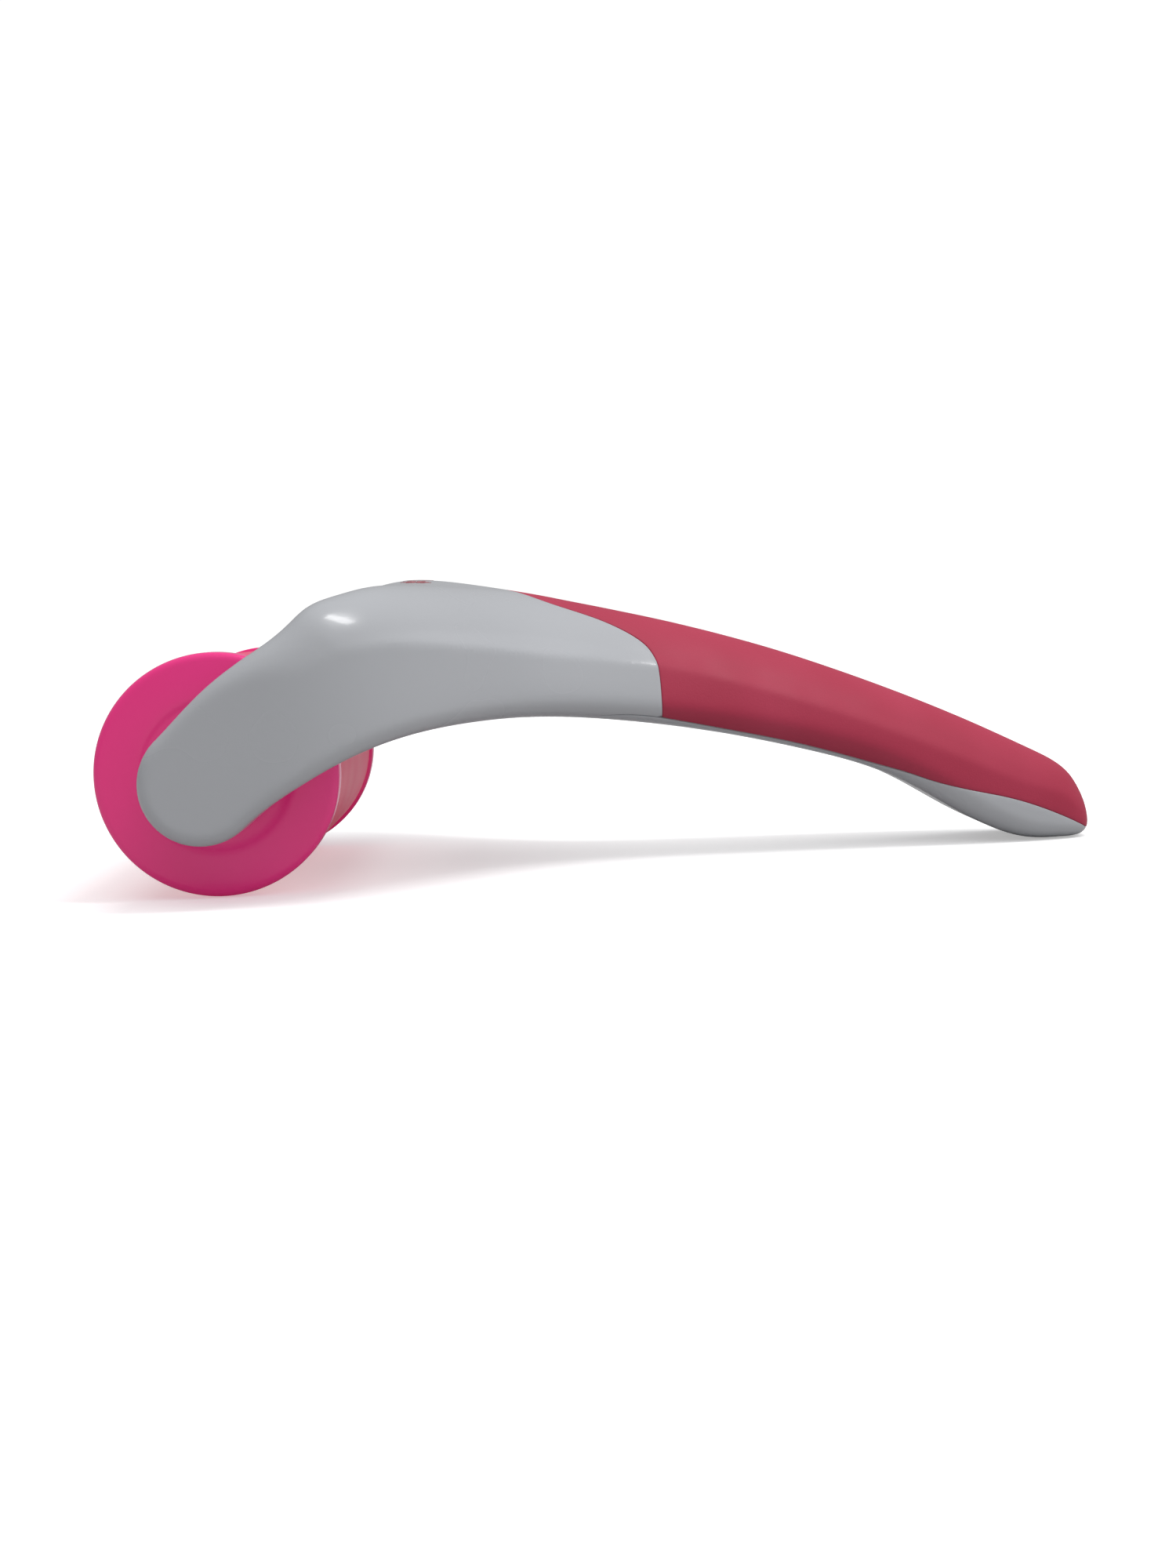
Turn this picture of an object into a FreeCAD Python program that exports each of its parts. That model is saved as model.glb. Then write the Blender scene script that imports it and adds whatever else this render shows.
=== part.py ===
"""Hand-held cold massage roller: a gel-filled roller that turns between the
two arms of a hollow yoke, with a soft grip over the handle and a tail foot.

Frame: millimetres, +X from the roller to the tail, +Y across the roller,
+Z up. The origin is the middle of the footprint on the table that the roller
and the tail foot stand on.
"""
import FreeCAD, Part
import math
import os

import Sketcher
from FreeCAD import Placement, Rotation, Vector

os.makedirs("parts", exist_ok=True)

doc = FreeCAD.newDocument("cold_roller")
dims = doc.addObject("Spreadsheet::Sheet", "dims")

# Driving dimensions, in millimetres.
SIZES = [
    ("overall_length", "185.2"),
    ("roller_radius", "21.5"),
    ("roller_width", "78"),
    ("barrel_drop", "0.7"),
    ("barrel_wall", "1.8"),
    ("rim_length", "4.5"),
    ("rim_edge", "1.5"),
    ("cap_web", "3.5"),
    ("spigot_depth", "11.5"),
    ("spigot_wall", "2.4"),
    ("seal_section", "0.75"),
    ("arm_gap", "1.5"),
    ("arm_thickness", "15"),
    ("tip_radius", "10.4"),
    ("journal_radius", "4"),
    ("journal_depth", "8"),
    ("running_gap", "0.05"),
    ("bush_radius", "6"),
    ("hub_radius", "8.5"),
    ("shank_radius", "5.5"),
    ("shank_depth", "10"),
    ("screw_radius", "1.25"),
    ("screw_head_radius", "2.5"),
    ("screw_head_height", "1.6"),
    ("screw_length", "12"),
    ("shell_wall", "2.2"),
    ("grip_thickness", "2"),
    ("boss_radius", "4"),
    ("edge_radius", "3"),
    ("inner_edge_radius", "2"),
    ("axle_x", "=roller_radius - overall_length / 2"),
    ("arm_inner", "=roller_width / 2 + arm_gap"),
    ("arm_outer", "=roller_width / 2 + arm_gap + arm_thickness"),
    ("barrel_outer", "=roller_radius - barrel_drop"),
    ("barrel_inner", "=roller_radius - barrel_drop - barrel_wall"),
]
for row, (alias, value) in enumerate(SIZES, start=1):
    dims.set("A%d" % row, alias)
    dims.set("B%d" % row, value)
    dims.setAlias("B%d" % row, alias)
doc.recompute()


def size(alias):
    """A dimension from the sheet as a plain number."""
    return float(dims.get(alias))


# ---------------------------------------------------------------- turned parts

OUTWARD = {
    "left": Rotation(Vector(1, 0, 0), -90),
    "right": Rotation(Vector(1, 0, 0), 90),
}
SIDE_SIGN = {"left": -1, "right": 1}


def place_on_axle(part, side, distance):
    """Put a part on the roller axis at a distance from the middle plane.

    Its own Z axis then points at the middle plane. The left arm is at -Y.
    """
    part.Placement = Placement(Vector(0, 0, 0), OUTWARD[side])
    sign = "-" if side == "left" else ""
    part.setExpression("Placement.Base.x", "dims.axle_x")
    part.setExpression("Placement.Base.y", "%s(%s)" % (sign, distance))
    part.setExpression("Placement.Base.z", "dims.roller_radius")


def turned_body(name, outline):
    """A PartDesign body turned about its own Z axis.

    The outline is a closed loop of (radius, height) expressions. "0" puts the
    point on the axis or on the base plane.
    """
    body = doc.addObject("PartDesign::Body", name)
    body.Label = name
    planes = {item.Role: item for item in body.Origin.OriginFeatures}
    sketch = body.newObject("Sketcher::SketchObject", name + "_outline")
    sketch.AttachmentSupport = [(planes["XZ_Plane"], "")]
    sketch.MapMode = "FlatFace"
    values = []
    for radius, height in outline:
        values.append((evaluate(radius), evaluate(height)))
    count = len(values)
    for index in range(count):
        first = values[index]
        second = values[(index + 1) % count]
        start = Vector(first[0], first[1], 0)
        end = Vector(second[0], second[1], 0)
        sketch.addGeometry(Part.LineSegment(start, end), False)
    for index in range(count):
        following = (index + 1) % count
        bind = Sketcher.Constraint("Coincident", index, 2, following, 1)
        sketch.addConstraint(bind)
    for index, (radius, height) in enumerate(outline):
        fix_coordinate(sketch, index, "DistanceX", -2, radius)
        fix_coordinate(sketch, index, "DistanceY", -1, height)
    turn = body.newObject("PartDesign::Revolution", name + "_turn")
    turn.Profile = sketch
    turn.ReferenceAxis = (planes["Z_Axis"], [""])
    turn.Angle = 360
    return body


def fix_coordinate(sketch, index, kind, axis, text):
    """Hold one coordinate of a line's start point at an expression."""
    if text == "0":
        sketch.addConstraint(Sketcher.Constraint("PointOnObject", index, 1, axis))
        return
    value = evaluate(text)
    rule = Sketcher.Constraint(kind, -1, 1, index, 1, value)
    number = sketch.addConstraint(rule)
    sketch.setExpression("Constraints[%d]" % number, text)


def evaluate(text):
    """The present value of an expression on the sheet."""
    return float(dims.evalExpression(text.replace("dims.", "")))


CAP_OUTLINE = [
    ("dims.bush_radius", "0"),
    ("dims.hub_radius + 0.5", "0"),
    ("dims.hub_radius + 1", "1"),
    ("dims.roller_radius * 0.61", "1"),
    ("dims.roller_radius * 0.61 + 0.5", "0"),
    ("dims.roller_radius - dims.rim_edge", "0"),
    ("dims.roller_radius - dims.rim_edge * 0.3", "dims.rim_edge * 0.3"),
    ("dims.roller_radius", "dims.rim_edge"),
    ("dims.roller_radius", "dims.rim_length - 0.3"),
    ("dims.roller_radius - 0.3", "dims.rim_length"),
    ("dims.barrel_inner", "dims.rim_length"),
    ("dims.barrel_inner", "dims.rim_length + 2.6"),
    ("dims.barrel_inner - 2 * dims.seal_section", "dims.rim_length + 2.6"),
    ("dims.barrel_inner - 2 * dims.seal_section",
     "dims.rim_length + 2.6 + 2.4 * dims.seal_section"),
    ("dims.barrel_inner", "dims.rim_length + 2.6 + 2.4 * dims.seal_section"),
    ("dims.barrel_inner", "dims.spigot_depth"),
    ("dims.barrel_inner - dims.spigot_wall", "dims.spigot_depth"),
    ("dims.barrel_inner - dims.spigot_wall", "dims.cap_web"),
    ("dims.hub_radius", "dims.cap_web"),
    ("dims.hub_radius", "dims.journal_depth + 2.6"),
    ("0", "dims.journal_depth + 2.6"),
    ("0", "dims.journal_depth + 1"),
    ("dims.bush_radius", "dims.journal_depth + 1"),
]
BUSH_OUTLINE = [
    ("dims.journal_radius + dims.running_gap", "0.2"),
    ("dims.bush_radius", "0.2"),
    ("dims.bush_radius", "dims.journal_depth + 0.8"),
    ("dims.journal_radius + dims.running_gap", "dims.journal_depth + 0.8"),
]
PEG_OUTLINE = [
    ("dims.screw_radius + 0.2", "0"),
    ("dims.shank_radius - 0.5", "0"),
    ("dims.shank_radius", "0.5"),
    ("dims.shank_radius", "dims.shank_depth"),
    ("dims.journal_radius", "dims.shank_depth"),
    ("dims.journal_radius", "dims.shank_depth + dims.arm_gap + dims.journal_depth - 0.6"),
    ("dims.journal_radius - 0.6", "dims.shank_depth + dims.arm_gap + dims.journal_depth"),
    ("dims.screw_head_radius + 0.2", "dims.shank_depth + dims.arm_gap + dims.journal_depth"),
    ("dims.screw_head_radius + 0.2",
     "dims.shank_depth + dims.arm_gap + dims.journal_depth - dims.screw_head_height - 0.4"),
    ("dims.screw_radius + 0.2",
     "dims.shank_depth + dims.arm_gap + dims.journal_depth - dims.screw_head_height - 0.4"),
]
WASHER_OUTLINE = [
    ("dims.journal_radius + 0.2", "0"),
    ("dims.hub_radius - 1", "0"),
    ("dims.hub_radius - 1", "dims.arm_gap - 0.4"),
    ("dims.journal_radius + 0.2", "dims.arm_gap - 0.4"),
]
BARREL_OUTLINE = [
    ("dims.barrel_inner", "0"),
    ("dims.barrel_outer", "0"),
    ("dims.barrel_outer", "dims.roller_width - 2 * dims.rim_length"),
    ("dims.barrel_inner", "dims.roller_width - 2 * dims.rim_length"),
]
PLUG_OUTLINE = [
    ("0", "0"),
    ("1.5", "0"),
    ("1.5", "0.7"),
    ("1.1", "0.7"),
    ("1.1", "dims.cap_web"),
    ("0", "dims.cap_web"),
]


def screw_outline(shaft):
    """A pan-head screw, head down at the base plane and point upwards."""
    return [
        ("0", "0.6"),
        ("0.9", "0"),
        ("dims.screw_head_radius - 0.4", "0"),
        ("dims.screw_head_radius", "dims.screw_head_height * 0.5"),
        ("dims.screw_head_radius", "dims.screw_head_height"),
        ("dims.screw_radius", "dims.screw_head_height"),
        ("dims.screw_radius", "dims.screw_head_height + %s - 1.5" % shaft),
        ("0", "dims.screw_head_height + %s" % shaft),
    ]


exported = []

for side in ("left", "right"):
    cap = turned_body("end_cap_" + side, CAP_OUTLINE)
    place_on_axle(cap, side, "dims.roller_width / 2")
    bush = turned_body("hub_bush_" + side, BUSH_OUTLINE)
    place_on_axle(bush, side, "dims.roller_width / 2")
    peg = turned_body("pivot_peg_" + side, PEG_OUTLINE)
    place_on_axle(peg, side, "dims.arm_inner + dims.shank_depth")
    washer = turned_body("spacer_washer_" + side, WASHER_OUTLINE)
    place_on_axle(washer, side, "dims.arm_inner - 0.1")
    seal = doc.addObject("Part::Torus", "seal_ring_" + side)
    seal.Label = "seal_ring_" + side
    seal.setExpression("Radius1", "dims.barrel_inner - dims.seal_section")
    seal.setExpression("Radius2", "dims.seal_section")
    inset = "dims.rim_length + 2.6 + 1.2 * dims.seal_section"
    place_on_axle(seal, side, "dims.roller_width / 2 - (%s)" % inset)
    exported += [cap, bush, peg, washer, seal]

barrel = turned_body("roller_barrel", BARREL_OUTLINE)
place_on_axle(barrel, "left", "dims.roller_width / 2 - dims.rim_length")
exported.append(barrel)

gel = doc.addObject("Part::Cylinder", "cooling_gel")
gel.Label = "cooling_gel"
gel.setExpression("Radius", "dims.barrel_inner")
gel.setExpression("Height", "dims.roller_width - 2 * dims.spigot_depth")
place_on_axle(gel, "left", "dims.roller_width / 2 - dims.spigot_depth")
exported.append(gel)

# The right cap has a filling hole in its recessed ring, closed by a plug.
filled_cap = doc.getObject("end_cap_right")
cap_planes = {item.Role: item for item in filled_cap.Origin.OriginFeatures}
hole_sketch = filled_cap.newObject("Sketcher::SketchObject", "filling_hole_outline")
hole_sketch.AttachmentSupport = [(cap_planes["XY_Plane"], "")]
hole_sketch.MapMode = "FlatFace"
hole_sketch.addGeometry(Part.Circle(Vector(11.3, 0, 0), Vector(0, 0, 1), 1.1), False)
hole_sketch.addConstraint(Sketcher.Constraint("Radius", 0, 1.1))
hole_sketch.addConstraint(Sketcher.Constraint("PointOnObject", 0, 3, -1))
hole_sketch.addConstraint(Sketcher.Constraint("DistanceX", -1, 1, 0, 3, 11.3))
doc.recompute()
hole = filled_cap.newObject("PartDesign::Pocket", "filling_hole")
hole.Profile = hole_sketch
hole.Type = "ThroughAll"
hole.Reversed = True
plug = turned_body("fill_plug", PLUG_OUTLINE)
place_on_axle(plug, "right", "dims.roller_width / 2 - 1 + 0.7")
plug.setExpression("Placement.Base.x", "dims.axle_x + 11.3")
exported.append(plug)

# ---------------------------------------------------------------------- screws


def screw_set(name, shaft, places):
    """Identical screws as one group. A place is a rotation and expressions."""
    members = []
    for number, (rotation, spot) in enumerate(places, start=1):
        screw = turned_body("%s_%d" % (name, number), screw_outline(shaft))
        screw.Placement = Placement(Vector(0, 0, 0), rotation)
        screw.setExpression("Placement.Base.x", spot[0])
        screw.setExpression("Placement.Base.y", spot[1])
        screw.setExpression("Placement.Base.z", spot[2])
        members.append(screw)
    group = doc.addObject("Part::Compound", name)
    group.Label = name
    group.Links = members
    return group


head_depth = "dims.arm_inner - dims.arm_gap - dims.journal_depth + dims.screw_head_height + 0.4"
PEG_SCREW_PLACES = [
    (OUTWARD["right"],
     ("dims.axle_x", "-(%s) + dims.screw_head_height" % head_depth, "dims.roller_radius")),
    (OUTWARD["left"],
     ("dims.axle_x", "(%s) - dims.screw_head_height" % head_depth, "dims.roller_radius")),
]
peg_screws = screw_set("peg_screws", "(dims.screw_length + 6)", PEG_SCREW_PLACES)

# Shell screws: distance behind the axle, sideways offset, height of the head's seat.
SHELL_SCREWS = [
    (38.0, -20.0, 30.2),
    (38.0, 20.0, 30.2),
    (92.0, 0.0, 25.6),
    (145.0, 0.0, 7.6),
]
shell_places = []
for behind, across, seat in SHELL_SCREWS:
    spot = ("dims.axle_x + %g" % behind, "%g" % across, "%g - dims.screw_head_height" % seat)
    shell_places.append((Rotation(), spot))
shell_screws = screw_set("shell_screws", "(dims.screw_length - 3)", shell_places)
exported += [peg_screws, shell_screws]

# ---------------------------------------------------------------------- shells

AXLE_X = size("axle_x")
ARM_INNER = size("arm_inner")
ARM_OUTER = size("arm_outer")
TAIL_X = 163.7
FOOT_FRONT = 151.0
FOOT_BACK = 161.4

# Side view. Points are (distance behind the axle, height above the table).
TIP_CENTRE = (-0.5, 21.0)
UPPER_ANGLE = 132
CROWN = [(0, 35.8), (8, 42), (19, 49.9), (26, 53.2), (34.5, 54.9), (45, 53.7), (60, 50.7),
         (80, 45.8), (100, 39.7), (120, 32.2), (140, 23.4), (155, 16), (161.6, 10.6),
         (TAIL_X, 4)]
BELLY = [(FOOT_FRONT, 0), (144, 2.6), (137, 6.4), (130, 10.9), (122, 14.9), (110, 18.7),
         (90, 23.4), (70, 27), (55, 28.5), (45, 28.5), (35, 27.4), (25, 24.4), (17, 20.4)]
# The line where the under shell meets the yoke shell and the grip.
SEAM = [(9, 18), (17, 23.2), (25, 27), (35, 29.8), (45, 30.8), (55, 30.8), (70, 29.2),
        (82, 27), (90, 25.4), (104, 22), (113, 19.3), (122, 16.4), (131, 13.1), (140, 10.6),
        (149, 8), (158, 4.3), (168, -1)]
# The front end of the grip in side view, from above the crown to below the belly.
GRIP_FRONT = [(46, 56), (53, 50.4), (66, 47.2), (74, 43.6), (78.5, 39.4), (80, 34), (80, 20)]
# Plan view. Points are (distance behind the axle, half width).
SHOULDER = [(10, ARM_OUTER), (20, 54.9), (28, 52.4), (36, 46.8), (45, 37.8), (55, 27.8),
            (65, 20.6), (75, 16.6), (85, 14.8), (100, 14.2), (120, 13.8), (140, 12.8),
            (152, 11), (160, 8), (165, 3.5)]
TONGUE = [(49.5, 0), (51, 4.4), (55, 7.6), (61, 10.4), (69, 13.2), (77, 16), (84, 20)]
GAP_REAR = 26.0
GAP_CORNER = 8.0


def side_point(point):
    """A side view point in the part's frame."""
    return Vector(AXLE_X + point[0], 0, point[1])


def plan_point(point):
    """A plan view point in the part's frame."""
    return Vector(AXLE_X + point[0], point[1], 0)


def smooth(points, start=None, end=None, draw_in=0.0):
    """A smooth curve through points, with both end directions or neither.

    With draw_in, each point first moves that far to the right of the curve's
    direction, seen from above in plan view and from -Y in side view.
    """
    ends = {}
    if start is not None:
        ends = {"InitialTangent": start, "FinalTangent": end}
    curve = Part.BSplineCurve()
    curve.interpolate(points, **ends)
    if draw_in:
        flat = all(abs(point.z - points[0].z) < 1e-9 for point in points)
        up = Vector(0, 0, 1) if flat else Vector(0, -1, 0)
        moved = []
        for point in points:
            along = curve.tangent(curve.parameter(point))[0]
            moved.append(point + along.cross(up).normalize() * draw_in)
        curve = Part.BSplineCurve()
        curve.interpolate(moved, **ends)
    return curve.toShape()


def line(first, second):
    """A straight edge."""
    return Part.LineSegment(first, second).toShape()


def face_of(edges):
    """A flat face inside a closed loop of edges."""
    return Part.Face(Part.Wire(Part.__sortEdges__(edges)))


def across(face, half=70.0):
    """A side view face made into a prism across the part."""
    prism = face.extrude(Vector(0, 2 * half, 0))
    prism.translate(Vector(0, -half, 0))
    return prism


def upright(face, low=-10.0, high=80.0):
    """A plan view face made into a prism of a given height range."""
    prism = face.extrude(Vector(0, 0, high - low))
    prism.translate(Vector(0, 0, low))
    return prism


def mirrored(edge):
    """The same edge on the other side of the middle plane."""
    return edge.mirror(Vector(0, 0, 0), Vector(0, 1, 0))


def crown_edge(draw_in):
    """The upper line in side view, from the arm tips' rim to the tail."""
    tip = size("tip_radius")
    upper = math.radians(UPPER_ANGLE)
    x = TIP_CENTRE[0] + tip * math.cos(upper)
    z = TIP_CENTRE[1] + tip * math.sin(upper)
    leave = Vector(math.sin(upper), 0, -math.cos(upper))
    points = [side_point((x, z))] + [side_point(p) for p in CROWN]
    return smooth(points, leave, Vector(0, 0, -1), draw_in)


def side_outline(draw_in=0.0):
    """The yoke and handle in side view, drawn in from the outside by a distance."""
    tip = size("tip_radius")
    upper = math.radians(UPPER_ANGLE)
    front = math.radians(191)
    lower = math.radians(312)
    rim = []
    inner_rim = []
    for angle in (upper, front, lower):
        x = math.cos(angle)
        z = math.sin(angle)
        rim.append(side_point((TIP_CENTRE[0] + tip * x, TIP_CENTRE[1] + tip * z)))
        short = tip - draw_in
        inner_rim.append(side_point((TIP_CENTRE[0] + short * x, TIP_CENTRE[1] + short * z)))
    nose = Part.Arc(inner_rim[0], inner_rim[1], inner_rim[2]).toShape()
    arrive = Vector(math.sin(lower), 0, -math.cos(lower))
    crown = crown_edge(draw_in)
    belly_points = [side_point(p) for p in BELLY] + [rim[2]]
    belly = smooth(belly_points, Vector(-1, 0, 0), arrive, draw_in)
    toe = side_point((TAIL_X - draw_in, CROWN[-1][1]))
    heel = side_point((FOOT_BACK - draw_in, draw_in))
    sole = side_point((FOOT_FRONT, draw_in))
    return face_of([nose, crown, line(toe, heel), line(heel, sole), belly])


def plan_outline(draw_in=0.0):
    """The yoke and handle in plan view, open at the front for the roller."""
    front = -40.0
    corner = ARM_INNER - GAP_CORNER
    start = GAP_REAR - GAP_CORNER
    radius = GAP_CORNER + draw_in
    turn = radius * math.sqrt(0.5)
    inside = ARM_INNER + draw_in
    shoulder = smooth([plan_point(p) for p in SHOULDER], draw_in=draw_in)
    elbow = shoulder.valueAt(shoulder.FirstParameter)
    arm_end = Vector(AXLE_X + front, elbow.y, 0)
    outer = line(arm_end, elbow)
    inner = line(plan_point((front, inside)), plan_point((start, inside)))
    bend = Part.Arc(plan_point((start, inside)), plan_point((start + turn, corner + turn)),
                    plan_point((start + radius, corner))).toShape()
    ends = line(plan_point((front, inside)), arm_end)
    half = [outer, shoulder, inner, bend, ends]
    tail_corner = shoulder.valueAt(shoulder.LastParameter)
    tail = line(tail_corner, Vector(tail_corner.x, -tail_corner.y, 0))
    bridge = line(plan_point((start + radius, corner)), plan_point((start + radius, -corner)))
    return face_of(half + [mirrored(edge) for edge in half] + [tail, bridge])


def slab(first, last):
    """Everything between two distances behind the axle."""
    return Part.makeBox(last - first, 160, 100, Vector(AXLE_X + first, -80, -20))


def below_seam():
    """Everything under the seam, in side view."""
    curve = smooth([side_point(p) for p in SEAM])
    first = SEAM[0]
    last = SEAM[-1]
    front = line(side_point((first[0], -20)), side_point(first))
    floor = line(side_point((first[0], -20)), side_point((last[0], -20)))
    back = line(side_point((last[0], -20)), side_point(last))
    return across(face_of([curve, front, floor, back]))


def behind_grip_front():
    """The part of the handle that the grip covers, above the seam."""
    curve = smooth([side_point(p) for p in GRIP_FRONT])
    top = line(side_point(GRIP_FRONT[0]), side_point((175, 56)))
    back = line(side_point((175, 56)), side_point((175, 20)))
    low = line(side_point((175, 20)), side_point((175, -5)))
    floor = line(side_point((175, -5)), side_point((80, -5)))
    rise = line(side_point((80, -5)), side_point(GRIP_FRONT[-1]))
    return across(face_of([curve, top, back, low, floor, rise]))


def tongue_zone():
    """The grip's tongue in plan view, opening to the full handle width."""
    curve = smooth([plan_point(p) for p in TONGUE])
    last = TONGUE[-1]
    edge = line(plan_point(last), plan_point((175, last[1])))
    back = line(plan_point((175, last[1])), plan_point((175, -last[1])))
    return upright(face_of([curve, mirrored(curve), edge, mirrored(edge), back]))


def rounded(solid):
    """The envelope with its long edges rounded."""
    outer_edges = []
    inner_edges = []
    for edge in solid.Edges:
        box = edge.BoundBox
        straight_up = box.XLength < 1e-6 and box.YLength < 1e-6
        straight_across = box.XLength < 1e-6 and box.YLength > 2
        middle = edge.valueAt(0.5 * (edge.FirstParameter + edge.LastParameter))
        inside = abs(middle.y) < ARM_INNER + 0.1 and middle.x < AXLE_X + GAP_REAR + 0.01
        if straight_up:
            continue
        if inside:
            inner_edges.append(edge)
        elif not straight_across:
            outer_edges.append(edge)
    solid = solid.makeFillet(size("edge_radius"), outer_edges)
    kept = []
    for edge in solid.Edges:
        box = edge.BoundBox
        middle = edge.valueAt(0.5 * (edge.FirstParameter + edge.LastParameter))
        for wanted in inner_edges:
            spot = wanted.valueAt(0.5 * (wanted.FirstParameter + wanted.LastParameter))
            if spot.distanceToPoint(middle) < 0.5:
                kept.append(edge)
                break
    return solid.makeFillet(size("inner_edge_radius"), kept)


def shrunk(distance):
    """The unrounded envelope drawn in by a distance on every side."""
    return across(side_outline(distance)).common(upright(plan_outline(distance))).Solids[0]


def inside_grip(distance):
    """The space under the grip, drawn in from the outside and open at the bottom."""
    crown = crown_edge(distance)
    front = crown.valueAt(crown.FirstParameter)
    back = crown.valueAt(crown.LastParameter)
    low_front = Vector(front.x, 0, -20)
    low_back = Vector(back.x, 0, -20)
    loop = [crown, line(back, low_back), line(low_back, low_front), line(low_front, front)]
    return across(face_of(loop)).common(upright(plan_outline(distance), -25.0))


wall = size("shell_wall")
skin = size("grip_thickness")
envelope = rounded(shrunk(0.0))

grip_zone = behind_grip_front().common(tongue_zone()).cut(below_seam())
grip_shape = envelope.cut(inside_grip(skin)).common(grip_zone)

seam_zone = below_seam()
lid_zone = seam_zone.common(slab(9, 82))
rear_zone = seam_zone.common(slab(82, 175))
lid_opening = lid_zone.common(upright(plan_outline(wall)))
cavity = shrunk(wall).common(slab(9, 46)).fuse(shrunk(wall + skin).common(slab(45, 175)))

yoke_shape = envelope.cut(cavity.fuse([lid_opening, rear_zone])).cut(grip_shape)
lid_front = envelope.common(lid_zone).common(upright(plan_outline(wall + 0.1)))
lid_rear = envelope.common(rear_zone)
under_shape = lid_front.fuse(lid_rear)

post_room = shrunk(skin + 0.1)
boss = size("boss_radius")
pilot = size("screw_radius") - 0.15
for behind, sideways, seat in SHELL_SCREWS:
    spot = Vector(AXLE_X + behind, sideways, 0)
    joint = seat + 3.0
    low_post = Part.makeCylinder(boss, joint - seat + 12, spot + Vector(0, 0, seat - 12))
    low_post = low_post.common(envelope)
    high_post = Part.makeCylinder(boss, 60, spot + Vector(0, 0, joint)).common(post_room)
    outside = spot + Vector(0, 0, seat - 20)
    shaft_hole = Part.makeCylinder(size("screw_radius") + 0.2, 40, outside)
    head_hole = Part.makeCylinder(size("screw_head_radius") + 0.3, 20, outside)
    pilot_hole = Part.makeCylinder(pilot, 7, spot + Vector(0, 0, joint))
    yoke_shape = yoke_shape.cut(Part.makeCylinder(boss + 0.1, 20, spot + Vector(0, 0, joint - 20)))
    yoke_shape = yoke_shape.fuse(high_post).cut(pilot_hole)
    under_shape = under_shape.fuse(low_post).cut(shaft_hole).cut(head_hole)

for side, sign in SIDE_SIGN.items():
    mouth = Vector(AXLE_X, sign * ARM_INNER, size("roller_radius"))
    outward = Vector(0, sign, 0)
    socket = Part.makeCylinder(size("shank_radius"), size("shank_depth"), mouth, outward)
    deep = Part.makeCylinder(pilot, size("shank_depth") + 3, mouth, outward)
    yoke_shape = yoke_shape.cut(socket).cut(deep)


def shell_part(name, shape):
    """A shell as one document object, refined and placed at the origin."""
    part = doc.addObject("Part::Feature", name)
    part.Label = name
    part.Shape = shape.removeSplitter()
    part.Placement = Placement()
    return part


exported.append(shell_part("yoke_shell", yoke_shape))
exported.append(shell_part("under_shell", under_shape))
exported.append(shell_part("grip_cover", grip_shape))

# ---------------------------------------------------------------------- export

doc.recompute()
for item in doc.Objects:
    if "Invalid" in item.State or "Error" in item.State:
        raise RuntimeError("%s did not compute" % item.Name)
for part in exported:
    shape = part.Shape
    if shape.isNull() or not shape.isValid():
        raise RuntimeError("%s has no valid shape" % part.Label)
    print("%-22s solids %d volume %.1f" % (part.Label, len(shape.Solids), shape.Volume))
    shape.exportStep("parts/%s.step" % part.Label)
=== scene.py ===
"""Look of the hand-held cold massage roller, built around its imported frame.

Shapes are worked out in millimetres, with x counted behind the roller's axle,
y across the roller and z above the table, and turned into metres at the end.
"""

import math

import bpy
import numpy as np
from mathutils import Matrix, Vector


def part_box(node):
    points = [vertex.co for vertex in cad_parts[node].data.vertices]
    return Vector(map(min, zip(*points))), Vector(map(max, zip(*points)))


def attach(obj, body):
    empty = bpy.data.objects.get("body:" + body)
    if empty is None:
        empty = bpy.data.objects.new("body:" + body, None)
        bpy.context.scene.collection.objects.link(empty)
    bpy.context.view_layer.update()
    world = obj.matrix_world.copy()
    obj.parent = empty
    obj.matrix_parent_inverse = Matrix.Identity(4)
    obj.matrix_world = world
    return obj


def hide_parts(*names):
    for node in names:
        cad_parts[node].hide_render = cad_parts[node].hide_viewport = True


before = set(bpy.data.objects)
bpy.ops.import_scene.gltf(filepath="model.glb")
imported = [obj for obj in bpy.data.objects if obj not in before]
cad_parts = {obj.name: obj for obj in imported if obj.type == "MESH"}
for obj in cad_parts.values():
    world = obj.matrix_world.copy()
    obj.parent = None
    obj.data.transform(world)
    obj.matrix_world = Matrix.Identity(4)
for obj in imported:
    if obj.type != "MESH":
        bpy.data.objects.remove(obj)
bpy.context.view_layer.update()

MM = 0.001
cap_low, cap_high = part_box("end_cap_left")
AXLE_X = (cap_low.x + cap_high.x) / 2
AXLE_Z = (cap_low.z + cap_high.z) / 2
ARM_OUTER = 55.45
ARM_INNER = 40.55
TAIL_X = 163.7


# ------------------------------------------------------------------ curves


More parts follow.
